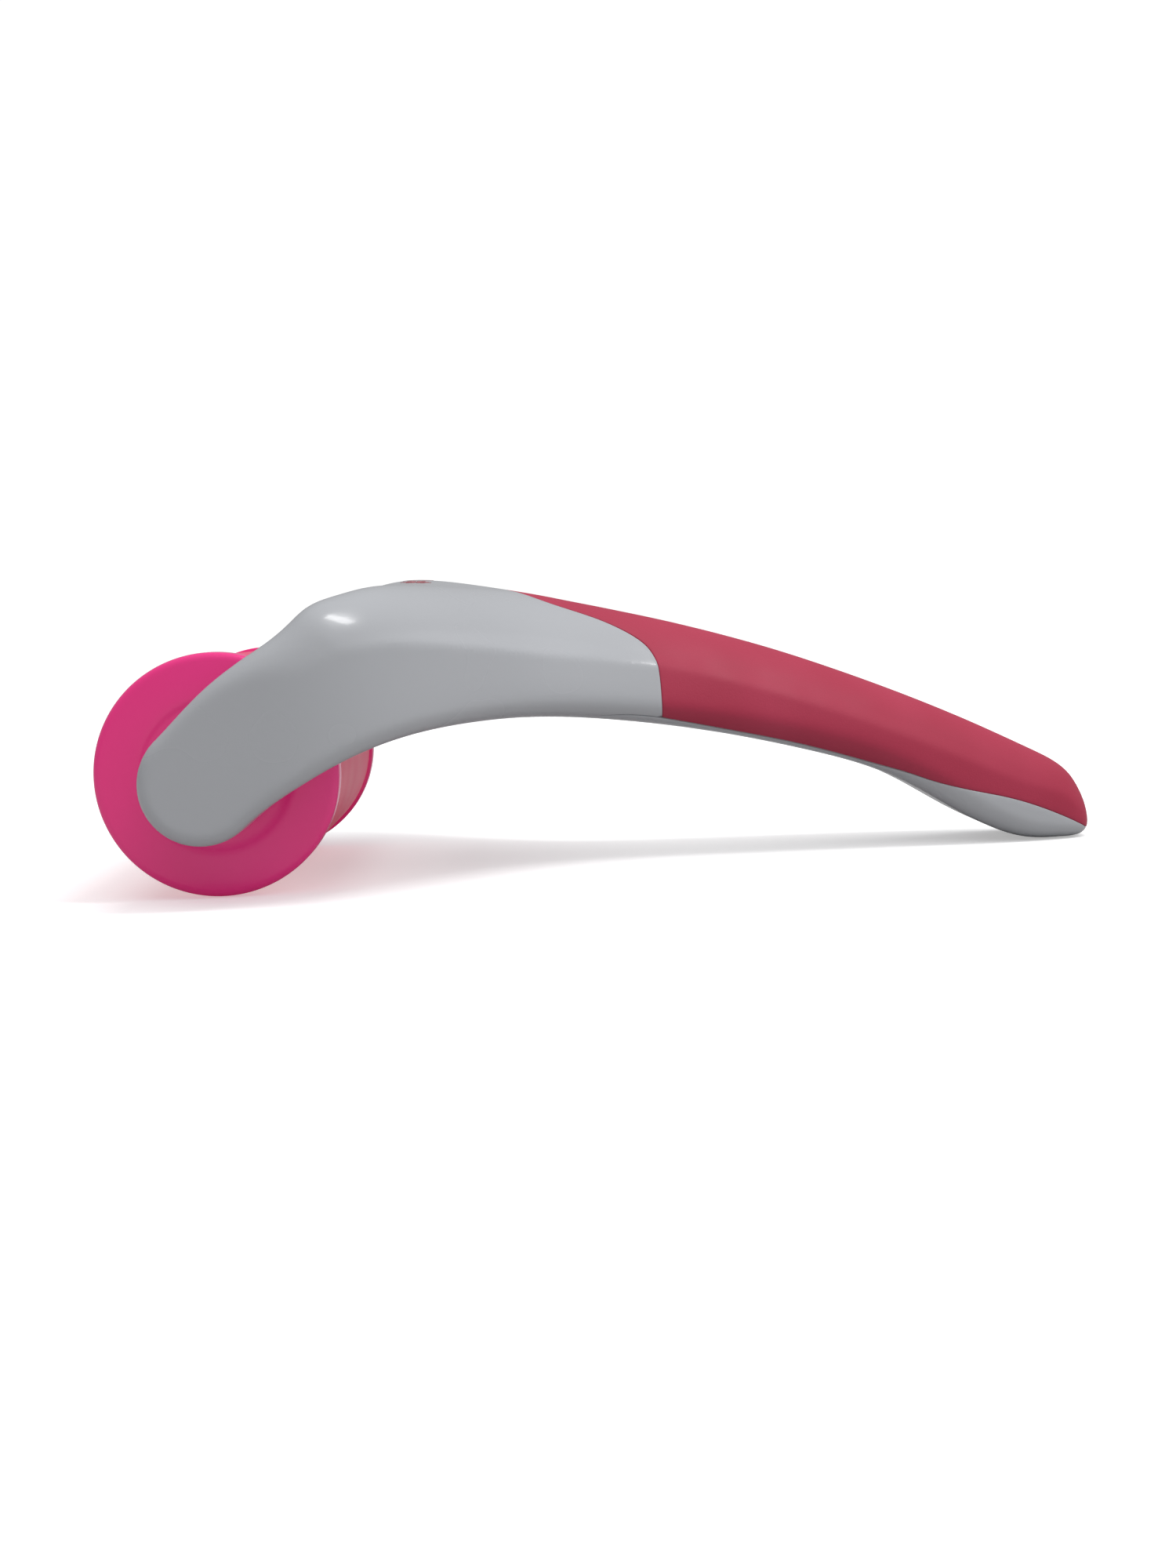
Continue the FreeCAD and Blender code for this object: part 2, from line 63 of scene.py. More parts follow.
def spline(points, start=None, end=None, step=0.6):
    """Points along a smooth curve through the given points."""
    points = np.array(points, float)
    gaps = np.hypot(*np.diff(points, axis=0).T)
    knots = np.concatenate([[0], np.cumsum(gaps)])
    count = len(points)
    matrix = np.zeros((count, count))
    right = np.zeros((count, 2))
    for i in range(1, count - 1):
        before, after = gaps[i - 1], gaps[i]
        matrix[i, i - 1] = after
        matrix[i, i] = 2 * (before + after)
        matrix[i, i + 1] = before
        slope_before = (points[i] - points[i - 1]) / before
        slope_after = (points[i + 1] - points[i]) / after
        right[i] = 3 * (after * slope_before + before * slope_after)
    matrix[0, 0] = matrix[-1, -1] = 1
    if start is None:
        matrix[0, :2] = (2, 1)
        right[0] = 3 * (points[1] - points[0]) / gaps[0]
    else:
        right[0] = np.array(start) / np.hypot(*start)
    if end is None:
        matrix[-1, -2:] = (1, 2)
        right[-1] = 3 * (points[-1] - points[-2]) / gaps[-1]
    else:
        right[-1] = np.array(end) / np.hypot(*end)
    slopes = np.linalg.solve(matrix, right)
    out = []
    for i in range(count - 1):
        n = max(2, int(round(gaps[i] / step)))
        t = (np.arange(n) / n)[:, None]
        h = gaps[i]
        out.append((2 * t**3 - 3 * t**2 + 1) * points[i] + (t**3 - 2 * t**2 + t) * h * slopes[i]
                   + (3 * t**2 - 2 * t**3) * points[i + 1] + (t**3 - t**2) * h * slopes[i + 1])
    out.append(points[-1:])
    return np.concatenate(out)


def arc(centre, radius, first, last, step=0.4):
    """Points along an arc, between two angles in degrees."""
    n = max(3, int(abs(math.radians(last - first)) * radius / step))
    a = np.radians(np.linspace(first, last, n + 1))
    return np.stack([centre[0] + radius * np.cos(a), centre[1] + radius * np.sin(a)], 1)


def along(table):
    """A function of x that runs smoothly through a small table."""
    xs, ys = np.array(table, float).T
    slopes = np.gradient(ys, xs)

    def value(x):
        x = np.clip(x, xs[0], xs[-1])
        i = np.clip(np.searchsorted(xs, x) - 1, 0, len(xs) - 2)
        h = xs[i + 1] - xs[i]
        t = (x - xs[i]) / h
        return ((2 * t**3 - 3 * t**2 + 1) * ys[i] + (t**3 - 2 * t**2 + t) * h * slopes[i]
                + (3 * t**2 - 2 * t**3) * ys[i + 1] + (t**3 - t**2) * h * slopes[i + 1])
    return value


class Distance:
    """Signed distance to a closed plane outline, negative inside, read smoothly."""

    def __init__(self, outline, low, high, cell=0.5):
        self.low = np.array(low, float)
        self.cell = cell
        self.shape = tuple(int(math.ceil((b - a) / cell)) + 1 for a, b in zip(low, high))
        gx, gy = np.meshgrid(*[self.low[k] + cell * np.arange(self.shape[k]) for k in (0, 1)],
                             indexing="ij")
        grid = np.stack([gx.ravel(), gy.ravel()], 1)
        second = np.roll(outline, -1, axis=0)
        keep = np.hypot(*(second - outline).T) > 1e-9
        first, second = outline[keep], second[keep]
        side = second - first
        length2 = (side**2).sum(1)
        best = np.full(len(grid), 1e9)
        inside = np.zeros(len(grid), bool)
        for k in range(0, len(grid), 20000):
            part = grid[k:k + 20000]
            dx = part[:, None, 0] - first[None, :, 0]
            dy = part[:, None, 1] - first[None, :, 1]
            t = np.clip((dx * side[:, 0] + dy * side[:, 1]) / length2, 0, 1)
            away = (dx - t * side[:, 0])**2 + (dy - t * side[:, 1])**2
            best[k:k + 20000] = away.min(1)
            above = (first[None, :, 1] > part[:, 1:2]) != (second[None, :, 1] > part[:, 1:2])
            with np.errstate(divide="ignore", invalid="ignore"):
                cross = side[:, 0] * (part[:, 1:2] - first[:, 1]) / side[:, 1] + first[:, 0]
            inside[k:k + 20000] = ((above & (part[:, :1] < cross)).sum(1) % 2).astype(bool)
        self.value = (np.sqrt(best) * np.where(inside, -1, 1)).reshape(self.shape)

    def __call__(self, x, y):
        fx = np.clip((x - self.low[0]) / self.cell, 1.001, self.shape[0] - 2.002)
        fy = np.clip((y - self.low[1]) / self.cell, 1.001, self.shape[1] - 2.002)
        ix, iy = fx.astype(int), fy.astype(int)
        tx, ty = fx - ix, fy - iy
        wx, wy = cubic_weights(tx), cubic_weights(ty)
        total = 0
        for a in range(4):
            for b in range(4):
                total = total + wx[a] * wy[b] * self.value[ix + a - 1, iy + b - 1]
        return total


def cubic_weights(t):
    """The four weights of a cubic B-spline, which smooths the grid slightly."""
    return ((1 - t)**3 / 6, (3 * t**3 - 6 * t**2 + 4) / 6,
            (-3 * t**3 + 3 * t**2 + 3 * t + 1) / 6, t**3 / 6)


# ------------------------------------------------------------------ the body's shape

# Side view: the arm tip's round end, then the crown's line and the belly's line.
TIP_CENTRE = (-0.5, 21.0)
TIP_RADIUS = 10.4
UPPER, LOWER = 132.0, 312.0
rim = arc(TIP_CENTRE, TIP_RADIUS, LOWER, UPPER)
leave = (math.sin(math.radians(UPPER)), -math.cos(math.radians(UPPER)))
arrive = (math.sin(math.radians(LOWER)), -math.cos(math.radians(LOWER)))
CROWN = [(0, 35.8), (8, 41.8), (12, 44.6), (15.5, 47.8), (17.8, 50.1), (20, 51.5), (23, 52.6),
         (27, 53.85), (31, 54.68), (34.5, 54.83),
         (45, 53.6), (60, 50.6), (80, 45.85), (100, 39.85), (120, 32.35), (140, 23.6),
         (153, 17.1), (160.4, 12), (TAIL_X - 0.5, 5.5), (TAIL_X - 0.4, 2.6)]
BELLY = [(156, 0.12), (150, 0.5), (143, 2.9), (136.5, 6.4), (130, 10.4), (122, 14.6), (110, 18.7),
         (90, 23.6), (70, 27), (55, 28.5), (45, 28.5), (35, 27.4), (25, 24.4), (17, 20.4)]
crown = spline([rim[-1]] + CROWN, leave, (0, -1))
belly = spline(BELLY + [rim[0]], (-1, 0), arrive)
heel = spline([(TAIL_X - 0.4, 2.6), (TAIL_X - 1.5, 0.75), (160, 0.15), (156, 0.12)], (0, -1),
              (-1, 0))
side_view = Distance(np.concatenate([rim, crown, heel, belly]), (-16, -6), (170, 62))

# Plan view: one side from the arm to the tail, and the gap that the roller turns in.
SHOULDER = [(10, ARM_OUTER - 0.05), (20, 54.8), (28, 52.2), (36, 46.6), (45, 37.7), (55, 27.7),
            (65, 20.6), (75, 16.6), (85, 14.8), (100, 14.2), (120, 13.8), (140, 12.8),
            (152, 11.4), (159.5, 9.2), (164.6, 5.6), (167, 0)]
GAP_REAR, GAP_CORNER, GAP_EDGE = 26.0, 8.0, 2.0
GAP_LIMIT = 58
CLEAR_OF_GAP = -30.0
half = np.concatenate([[(-60, ARM_OUTER - 0.05)], spline(SHOULDER, (1, 0), (0, -1))])
outer_view = Distance(np.concatenate([half, (half * (1, -1))[::-1][1:]]), (-18, -60), (170, 60))
corner = arc((GAP_REAR - GAP_CORNER, ARM_INNER - GAP_CORNER), GAP_CORNER, 90, 0)
inner = np.concatenate([[(-60, ARM_INNER)], corner])
gap_view = Distance(np.concatenate([inner, (inner * (1, -1))[::-1]]), (-18, -60), (60, 60))

# Along the body: how round its edges are, how far its crown falls and its sides lean.
edge_top = along([(-12, 2.2), (2, 2.6), (10, 4.5), (20, 9), (30, 12.5), (48, 15.5), (60, 15.5),
                  (70, 12.6), (80, 10.4), (100, 9.6), (120, 9.2), (140, 8.5), (155, 6.5), (164, 4)])
edge_bottom = along([(-12, 2.2), (10, 2.4), (30, 3), (60, 4), (85, 5), (125, 5.5), (145, 4.5),
                     (164, 2)])
crown_drop = along([(-12, 0), (11, 0), (20, 0.35), (27, 0.5), (34, 0.85), (42, 1), (164, 1)])
side_lean = along([(-12, 0), (18, 0), (40, 0.15), (60, 0.38), (80, 0.42), (110, 0.36),
                   (145, 0.22), (164, 0.15)])
widest_line = along([(-12, 30), (30, 32), (45, 33), (60, 32.5), (80, 29.5), (100, 25.5),
                     (120, 19.5), (140, 11), (150, 7), (164, 4)])
middle_line = along([(-12, 24), (0, 25), (10, 31), (20, 38), (30, 41), (45, 41), (60, 39),
                     (80, 35), (100, 30), (120, 23), (140, 14), (150, 9), (164, 6)])


def smoothstep(value, low, high):
    """0 below low, 1 above high, and smooth between."""
    t = np.clip((value - low) / (high - low), 0, 1)
    return t * t * (3 - 2 * t)


def body(points):
    """The yoke and handle as one smooth solid: negative inside, zero on the skin."""
    x, y, z = points.T
    drop = 2.1 * y**2 / (y**2 + 14.0**2) * crown_drop(x)
    upper = smoothstep(z - middle_line(x), -4, 4)
    r = edge_bottom(x) * (1 - upper) + edge_top(x) * upper
    above = z - widest_line(x)
    rise = 0.5 * (above + np.sqrt(above**2 + 9)) - 0.5
    outer = outer_view(x, np.abs(y) + side_lean(x) * np.maximum(rise, 0))
    solid = rounded_meet(side_view(x, z + drop * upper), outer, r)
    return rounded_meet(solid, outside_gap(x, y), GAP_EDGE)


def outside_gap(x, y):
    """Positive inside the roller's gap, and far below zero behind it."""
    return np.where(x < GAP_LIMIT, -gap_view(x, y), CLEAR_OF_GAP)


def rounded_meet(a, b, r):
    """Two fields' common inside, with the edge between them rounded to a radius."""
    a, b = a + r, b + r
    return np.minimum(np.maximum(a, b), 0) + np.hypot(np.maximum(a, 0), np.maximum(b, 0)) - r


def gradient(field, points, step=0.05):
    """A field's slope at points."""
    out = np.zeros_like(points)
    for k in range(3):
        move = np.zeros(3)
        move[k] = step
        out[:, k] = (field(points + move) - field(points - move)) / (2 * step)
    return out


def onto(field, points, rounds=3):
    """Points moved onto a field's zero surface."""
    for _ in range(rounds):
        slope = gradient(field, points)
        size = np.maximum((slope**2).sum(1), 1e-3)
        points = points - (field(points) / size)[:, None] * slope
    return points


def skin_of(field, low, high, cell):
    """A closed mesh of a field's zero surface, as points and four-sided faces."""
    counts = [int(math.ceil((b - a) / cell)) + 1 for a, b in zip(low, high)]
    axes = [a + cell * np.arange(n) for a, n in zip(low, counts)]
    value = np.empty(counts, np.float32)
    for i, x in enumerate(axes[0]):
        gy, gz = np.meshgrid(axes[1], axes[2], indexing="ij")
        slab = np.stack([np.full(gy.size, x), gy.ravel(), gz.ravel()], 1)
        value[i] = field(slab).reshape(counts[1], counts[2])
    full = value < 0
    number = -np.ones([n - 1 for n in counts], int)
    total = np.zeros([n - 1 for n in counts] + [3])
    hits = np.zeros([n - 1 for n in counts])
    offsets = [(i, j, k) for i in (0, 1) for j in (0, 1) for k in (0, 1)]
    for one in offsets:
        for axis in range(3):
            if one[axis]:
                continue
            two = list(one)
            two[axis] = 1
            s1 = tuple(slice(o, n - 1 + o) for o, n in zip(one, counts))
            s2 = tuple(slice(o, n - 1 + o) for o, n in zip(two, counts))
            v1, v2 = value[s1], value[s2]
            crosses = (v1 < 0) != (v2 < 0)
            t = np.where(crosses, v1 / np.where(crosses, v1 - v2, 1), 0)
            for k in range(3):
                total[..., k] += np.where(crosses, one[k] + (t if k == axis else 0), 0)
            hits += crosses
    used = hits > 0
    number[used] = np.arange(used.sum())
    where = np.argwhere(used)
    points = (where + total[used] / hits[used][:, None]) * cell + np.array(low)
    faces = []
    for axis in range(3):
        u, v = (axis + 1) % 3, (axis + 2) % 3
        s1 = [slice(1, n - 1) for n in counts]
        s2 = [slice(1, n - 1) for n in counts]
        s1[axis] = slice(0, counts[axis] - 1)
        s2[axis] = slice(1, counts[axis])
        f1, f2 = full[tuple(s1)], full[tuple(s2)]
        for flag, order in ((f1 & ~f2, 1), (~f1 & f2, -1)):
            cells = np.argwhere(flag)
            cells[:, u] += 1
            cells[:, v] += 1
            ring = []
            for du, dv in ((-1, -1), (0, -1), (0, 0), (-1, 0))[::order]:
                c = cells.copy()
                c[:, u] += du
                c[:, v] += dv
                ring.append(number[c[:, 0], c[:, 1], c[:, 2]])
            faces.append(np.stack(ring, 1))
    return points, np.concatenate(faces)


def relaxed(field, points, faces, rounds=5):
    """Points evened out along the surface."""
    ends = np.concatenate([faces[:, [i, (i + 1) % 4]] for i in range(4)])
    for _ in range(rounds):
        total = np.zeros_like(points)
        for k in range(3):
            total[:, k] = np.bincount(ends[:, 0], points[ends[:, 1], k], len(points))
            total[:, k] += np.bincount(ends[:, 1], points[ends[:, 0], k], len(points))
        count = np.bincount(ends.ravel(), minlength=len(points))
        points = points + 0.6 * (total / count[:, None] - points)
        points = onto(field, points, 1)
    return onto(field, points, 2)


# ------------------------------------------------------------------ patches of the skin


def to_level(field, region, points, rounds=4):
    """Points moved onto the line where a region's value is zero on the skin."""
    for _ in range(rounds):
        normal = gradient(field, points)
        normal /= np.linalg.norm(normal, axis=1)[:, None]
        slope = gradient(region, points)
        slope -= (slope * normal).sum(1)[:, None] * normal
        size = np.maximum((slope**2).sum(1), 0.05)
        step = (region(points) / size)[:, None] * slope
        length = np.linalg.norm(step, axis=1)[:, None]
        points = points - step * np.minimum(1, 0.5 / np.maximum(length, 1e-9))
        points = onto(field, points, 1)
    return points


def patch(field, points, triangles, region, near=0.3):
    """The part of the skin where a region's value is positive, cut along its edge."""
    points = points.copy()
    value = region(points)
    close = np.abs(value) < near
    moved = to_level(field, region, points[close])
    settled = np.abs(region(moved)) < 0.02
    index = np.flatnonzero(close)[settled]
    points[index] = moved[settled]
    value = region(points)
    value[index] = 0
    sign = np.sign(value).astype(int)
    corners = sign[triangles]
    whole = (corners.min(1) >= 0) & (corners.max(1) > 0)
    mixed = (corners.min(1) < 0) & (corners.max(1) > 0)
    kept = [tuple(t) for t in triangles[whole]]
    extra, lookup = [], {}

    def between(a, b):
        key = (min(a, b), max(a, b))
        if key not in lookup:
            lookup[key] = len(points) + len(extra)
            t = value[a] / (value[a] - value[b])
            extra.append(points[a] + t * (points[b] - points[a]))
        return lookup[key]

    for tri in triangles[mixed]:
        ring = []
        for i in range(3):
            a, b = int(tri[i]), int(tri[(i + 1) % 3])
            if sign[a] >= 0:
                ring.append(a)
            if sign[a] * sign[b] < 0:
                ring.append(between(a, b))
        for i in range(1, len(ring) - 1):
            kept.append((ring[0], ring[i], ring[i + 1]))
    if extra:
        points = np.concatenate([points, to_level(field, region, np.array(extra))])
    kept = np.array(kept)
    used = np.unique(kept)
    renumber = -np.ones(len(points), int)
    renumber[used] = np.arange(len(used))
    return points[used], renumber[kept]


def thick(field, points, triangles, region, lip, depth):
    """A patch made into a closed moulding with a rounded edge."""
    normal = gradient(field, points)
    normal /= np.linalg.norm(normal, axis=1)[:, None]
    edges = np.concatenate([triangles[:, [i, (i + 1) % 3]] for i in range(3)])
    key = edges.min(1) * len(points) + edges.max(1)
    _, first, count = np.unique(key, return_index=True, return_counts=True)
    border = edges[first[count == 1]]
    around = np.unique(border)
    slope = gradient(region, points[around])
    slope -= (slope * normal[around]).sum(1)[:, None] * normal[around]
    slope /= np.maximum(np.linalg.norm(slope, axis=1), 0.2)[:, None]
    rings = []
    for angle in (30, 60, 90):
        a = math.radians(angle)
        rings.append(points[around] - slope * lip * math.sin(a)
                     - normal[around] * lip * (1 - math.cos(a)))
    rings.append(points[around] - slope * lip - normal[around] * depth)
    count = len(points)
    place = -np.ones(count, int)
    place[around] = np.arange(len(around))
    inner = points - normal * depth
    faces = [tuple(t) for t in triangles]
    base = [border] + [place[border] + count + k * len(around) for k in range(len(rings))]
    start = count + len(rings) * len(around)
    base.append(border + start)
    for upper, under in zip(base[:-1], base[1:]):
        for (a, b), (c, d) in zip(upper, under):
            faces.append((b, a, c, d))
    faces += [tuple(t[::-1] + start) for t in triangles]
    return np.concatenate([points] + rings + [inner]), faces


TONGUE = [(51.5, 0), (52.4, 2.4), (55.5, 4.4), (62, 5.5), (68, 6.3), (72, 7.2), (75.5, 8.4),
          (78.3, 10), (79.8, 12.2), (80.2, 16), (80.2, 30)]
tongue = spline(TONGUE, (0, 1), (0, 1))
tongue = np.concatenate([tongue, [(190, 30), (190, -30)], (tongue * (1, -1))[::-1][:-1]])
tongue_view = Distance(tongue, (44, -34), (176, 34), 0.4)
SEAM = [(50, 30.4), (60, 30), (70, 28.8), (80, 26.8), (87, 25.2), (96, 23.1), (105, 20.9),
        (113.5, 18.4), (122, 15.7), (127, 14.1), (131, 12.6), (136, 11.1), (140, 10.1),
        (145, 8.9), (149, 7.7), (153.5, 6), (158, 4), (161.5, 2.2), (165, 0), (172, -5)]
seam = spline(SEAM)
seam = np.concatenate([seam, [(190, -5), (190, 70), (20, 70), (20, 30.4)]])
seam_view = Distance(seam, (40, -8), (176, 62), 0.4)
LIP = 0.2
GRIP_LIP = 0.25
# Shell screws: distance behind the axle, sideways offset, height of the head's seat.
SHELL_SCREWS = [(38.0, -20.0, 30.2), (38.0, 20.0, 30.2), (92.0, 0.0, 25.6), (145.0, 0.0, 7.6)]
SCREW_WELL = 2.9
LID_START, LID_INSET = 9.0, 2.9
CORE_START, CORE_DEPTH, CORE_CLEARANCE = 10.0, 1.7, 0.9


def grip_area(points):
    """Positive where the soft grip covers the handle."""
    x, y, z = points.T
    return np.minimum(-tongue_view(x, y), -seam_view(x, z))


def lid_area(points):
    """Positive where the under shell closes the body, the tail foot included."""
    x, y, z = points.T
    facing_down = (middle_line(x) - 4 - z) * 0.5
    walls = np.maximum(outer_view(x, y), outside_gap(x, y))
    on_side = smoothstep(x, 60, 80)
    edge = (1 - on_side) * (-walls - LID_INSET) + on_side * seam_view(np.maximum(x, 45), z)
    area = np.minimum(np.minimum(edge, x - LID_START), facing_down + 30 * smoothstep(x, 76, 82))
    for behind, across, _ in SHELL_SCREWS:
        clear = np.hypot(x - behind, y - across) - SCREW_WELL
        area = np.where(z < middle_line(x), np.minimum(area, clear), area)
    return area


def yoke_area(points):
    """Positive on what is left: the yoke shell."""
    x, y, z = points.T
    wells = np.full(len(points), -9.0)
    for behind, across, _ in SHELL_SCREWS:
        wells = np.maximum(wells, SCREW_WELL - np.hypot(x - behind, y - across))
    wells = np.where(z < middle_line(x), wells, -9.0)
    return -np.maximum(np.maximum(grip_area(points), lid_area(points)), wells)


def inner_core(points):
    """The yoke shell's body under the grip and the seams, with the screw wells cut."""
    x, y, z = points.T
    core = np.maximum(body(points) + CORE_DEPTH, CORE_START - x)
    for behind, across, _ in SHELL_SCREWS:
        well = SCREW_WELL + CORE_CLEARANCE - np.hypot(x - behind, y - across)
        core = np.where(z < middle_line(x), np.maximum(core, well), core)
    return core


def lowered(region, amount):
    """A region drawn in from its edge."""
    return lambda points: region(points) - amount


def slab_of(quads):
    """Four-sided faces as triangles."""
    return np.concatenate([quads[:, [0, 1, 2]], quads[:, [0, 2, 3]]])


SKIN_CELL, CORE_CELL = 0.9, 1.15
SHELL_DEPTH, LID_DEPTH = 1.8, 1.6
SKIN, QUADS = skin_of(body, (-13, -57, -1.2), (165.5, 57, 57), SKIN_CELL)
SKIN = relaxed(body, onto(body, SKIN, 2), QUADS)
TRIANGLES = slab_of(QUADS)


def moulding(region, lip, depth):
    """One closed part of the body."""
    drawn = lowered(region, lip)
    points, triangles = patch(body, SKIN, TRIANGLES, drawn)
    return thick(body, points, triangles, region, lip, depth)


# ------------------------------------------------------------------ materials


def new_material(name):
    """An empty node material with its shader and output."""
    material = bpy.data.materials.new(name)
    material.use_nodes = True
    tree = material.node_tree
    shader = tree.nodes["Principled BSDF"]
    return material, tree, shader


def noise(tree, scale, detail=3.0, stretch=(1, 1, 1)):
    """A noise value that is fixed to the object."""
    coordinates = tree.nodes.new("ShaderNodeTexCoord")
    mapping = tree.nodes.new("ShaderNodeMapping")
    mapping.inputs["Scale"].default_value = stretch
    texture = tree.nodes.new("ShaderNodeTexNoise")
    texture.inputs["Scale"].default_value = scale
    texture.inputs["Detail"].default_value = detail
    tree.links.new(coordinates.outputs["Object"], mapping.inputs["Vector"])
    tree.links.new(mapping.outputs["Vector"], texture.inputs["Vector"])
    return texture.outputs["Fac"]


def ramp(tree, value, stops):
    """Colours or greys along a value."""
    node = tree.nodes.new("ShaderNodeValToRGB")
    node.color_ramp.elements[0].position = stops[0][0]
    node.color_ramp.elements[1].position = stops[-1][0]
    for place, _ in stops[1:-1]:
        node.color_ramp.elements.new(place)
    for element, (_, colour) in zip(node.color_ramp.elements, stops):
        if not isinstance(colour, tuple):
            colour = (colour, colour, colour)
        element.color = colour + (1,)
    tree.links.new(value, node.inputs["Fac"])
    return node.outputs["Color"]


def bumped(tree, shader, layers):
    """Relief from noise values, each with its own depth in metres."""
    normal = None
    for value, depth, strength in layers:
        node = tree.nodes.new("ShaderNodeBump")
        node.inputs["Distance"].default_value = depth
        node.inputs["Strength"].default_value = strength
        tree.links.new(value, node.inputs["Height"])
        if normal is not None:
            tree.links.new(normal, node.inputs["Normal"])
        normal = node.outputs["Normal"]
    tree.links.new(normal, shader.inputs["Normal"])


def plastic(name, stops, rough, scale=45, grain=1400, depth=0.00004, coat=0.0, painted_glow=None,
            shine=0.5):
    """Moulded plastic: drifting colour, uneven gloss, a faint moulded relief and any painted glow.
    """
    material, tree, shader = new_material(name)
    drift = noise(tree, scale, 1)
    tree.links.new(ramp(tree, drift, stops), shader.inputs["Base Color"])
    smudge = noise(tree, scale * 2.2, 1)
    tree.links.new(ramp(tree, smudge, [(0.3, rough[0]), (0.7, rough[1])]),
                   shader.inputs["Roughness"])
    bumped(tree, shader, [(noise(tree, grain, 2), depth, 0.35),
                          (noise(tree, grain / 5, 2), depth * 1.5, 0.15)])
    shader.inputs["Coat Weight"].default_value = coat
    shader.inputs["Coat Roughness"].default_value = 0.08
    shader.inputs["Specular IOR Level"].default_value = shine
    # The glow is painted light: the surface emits it in place of light from the lamps.
    if painted_glow:
        shader.inputs["Emission Color"].default_value = painted_glow[0] + (1,)
        shader.inputs["Emission Strength"].default_value = painted_glow[1]
    return material


WHITE = plastic("white_abs", [(0.3, (0.455, 0.465, 0.488)), (0.7, (0.472, 0.482, 0.505))],
                (0.25, 0.28), scale=24, depth=0.000008, coat=0.25)
GRIP = plastic("soft_grip", [(0.3, (0.42, 0.034, 0.074)), (0.7, (0.46, 0.042, 0.088))],
               (0.5, 0.6), scale=60, grain=3200, depth=0.00007, shine=0.3)
# The caps and fill plug glow faintly: painted light that lifts their magenta above what the lamps
# give.
TINTED = plastic("tinted_roller", [(0.3, (0.72, 0.028, 0.19)), (0.7, (0.82, 0.038, 0.25))],
                 (0.16, 0.22), scale=30, grain=700, depth=0.00001, coat=0.3,
                 painted_glow=((0.8, 0.025, 0.2), 0.22))
# The barrel glows a paler pink: a painted sheen standing in for the pale reflection along its side.
BARREL = plastic("tinted_barrel", [(0.3, (0.54, 0.035, 0.12)), (0.7, (0.62, 0.05, 0.16))],
                 (0.4, 0.5), scale=30, grain=700, depth=0.00001, shine=0.4,
                 painted_glow=((0.8, 0.14, 0.2), 0.27))
GEL = plastic("gel", [(0.3, (0.7, 0.03, 0.2)), (0.7, (0.8, 0.05, 0.28))], (0.1, 0.2))
ACETAL = plastic("acetal", [(0.3, (0.5, 0.5, 0.49)), (0.7, (0.58, 0.58, 0.56))], (0.35, 0.5),
                 grain=1800)
SEAL = plastic("seal_rubber", [(0.3, (0.012, 0.012, 0.013)), (0.7, (0.03, 0.03, 0.032))],
               (0.5, 0.7))
PRINT = plastic("print", [(0.3, (0.36, 0.09, 0.11)), (0.7, (0.45, 0.13, 0.15))], (0.4, 0.55),
                scale=600)


def plated_steel():
    """Plated screw steel with turning marks."""
    material, tree, shader = new_material("plated_steel")
    shader.inputs["Metallic"].default_value = 1.0
    tone = ramp(tree, noise(tree, 300, 4), [(0.3, (0.5, 0.5, 0.5)), (0.7, (0.62, 0.61, 0.6))])
    tree.links.new(tone, shader.inputs["Base Color"])
    marks = noise(tree, 900, 3, (1, 1, 0.05))
    tree.links.new(ramp(tree, marks, [(0.3, 0.28), (0.7, 0.42)]), shader.inputs["Roughness"])
    bumped(tree, shader, [(marks, 0.00003, 0.4)])
    return material


STEEL = plated_steel()

# ------------------------------------------------------------------ pieces


def in_frame(points):
    """Working millimetres as metres in the row frame."""
    return np.asarray(points, float) * MM + np.array([AXLE_X, 0, 0])


def make_piece(name, points, faces, material, rides, replaced=(), sharp=40):
    """One mesh piece on a body of the frame."""
    mesh = bpy.data.meshes.new(name)
    mesh.from_pydata([tuple(p) for p in points], [], [tuple(int(i) for i in f) for f in faces])
    mesh.validate()
    mesh.polygons.foreach_set("use_smooth", [True] * len(mesh.polygons))
    mesh.set_sharp_from_angle(angle=math.radians(sharp))
    mesh.materials.append(material)
    piece = bpy.data.objects.new(name, mesh)
    bpy.context.scene.collection.objects.link(piece)
    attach(piece, rides)
    if replaced:
        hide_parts(*replaced)
    return piece


def lathe(profile, segments=160):
    """A closed ring turned about the Z axis from (radius, height) points."""
    profile = np.array(profile, float)
    count = len(profile)
    angle = np.linspace(0, 2 * math.pi, segments, endpoint=False)
    points = np.zeros((segments, count, 3))
    points[..., 0] = np.cos(angle)[:, None] * profile[:, 0]
    points[..., 1] = np.sin(angle)[:, None] * profile[:, 0]
    points[..., 2] = profile[:, 1]
    faces = []
    for s in range(segments):
        t = (s + 1) % segments
        for i in range(count):
            j = (i + 1) % count
            faces.append((s * count + i, t * count + i, t * count + j, s * count + j))
    return points.reshape(-1, 3), faces


def rounded_profile(corners, steps=4):
    """A closed profile with its corners rounded: (radius, height, rounding)."""
    out = []
    count = len(corners)
    for i, (r, h, round_off) in enumerate(corners):
        here = np.array([r, h], float)
        before = np.array(corners[i - 1][:2], float) - here
        after = np.array(corners[(i + 1) % count][:2], float) - here
        if not round_off:
            out.append(here)
            continue
        before = before / np.hypot(*before) * min(round_off, 0.45 * np.hypot(*before))
        after = after / np.hypot(*after) * min(round_off, 0.45 * np.hypot(*after))
        for t in np.linspace(0, 1, steps + 2):
            out.append(here + (1 - t)**2 * before + t**2 * after)
    return out


